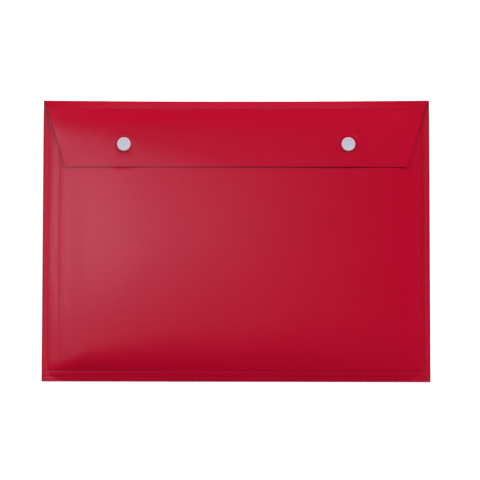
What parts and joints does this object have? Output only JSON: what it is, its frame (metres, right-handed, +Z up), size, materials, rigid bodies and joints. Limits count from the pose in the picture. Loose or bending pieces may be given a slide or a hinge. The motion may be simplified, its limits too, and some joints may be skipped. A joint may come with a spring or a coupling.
{
  "type": "document wallet",
  "caption": "Landscape document wallet of folded plastic sheet: gusseted pocket open at the top and a fold-over flap that closes with round press studs.",
  "frame": {"origin": "under the middle of the wallet's outline, on the surface that the back panel lies on", "axes": "+X along the flap's fold to the right as seen from the front, +Y towards that fold, +Z up out of the front face"},
  "size_m": [0.33, 0.24, 0.0105],
  "materials": {
    "red_sheet": "satin",
    "white_snap": "satin"
  },
  "bodies": {
    "wallet": {"back_panel": "red_sheet", "bottom_fold": "red_sheet", "bottom_flange": "red_sheet", "bottom_gusset": "red_sheet", "left_weld_flange": "red_sheet", "right_weld_flange": "red_sheet", "left_gusset": "red_sheet", "right_gusset": "red_sheet", "front_panel": "red_sheet", "spine_crease": "red_sheet", "snap_stud_left": "white_snap", "snap_stud_right": "white_snap", "stud_backing_left": "white_snap", "stud_backing_right": "white_snap"},
    "spine": {"flap_spine": "red_sheet", "flap_crease": "red_sheet"},
    "flap": {"flap_panel": "red_sheet", "snap_cap_left": "white_snap", "snap_cap_right": "white_snap", "snap_socket_left": "white_snap", "snap_socket_right": "white_snap"}
  },
  "joints": [
    {"name": "spine_fold", "type": "hinge", "parent": "wallet", "child": "spine", "pos_m": [0, 0.1195, 0.0005], "axis": [-1, 0, 0], "range_deg": [0, 127], "deforming": ["spine_crease"]},
    {"name": "flap_fold", "type": "hinge", "parent": "spine", "child": "flap", "pos_m": [0, 0.1125, 0.0087], "axis": [-1, 0, 0], "range_deg": [0, 48.5], "deforming": ["flap_crease"]}
  ]
}
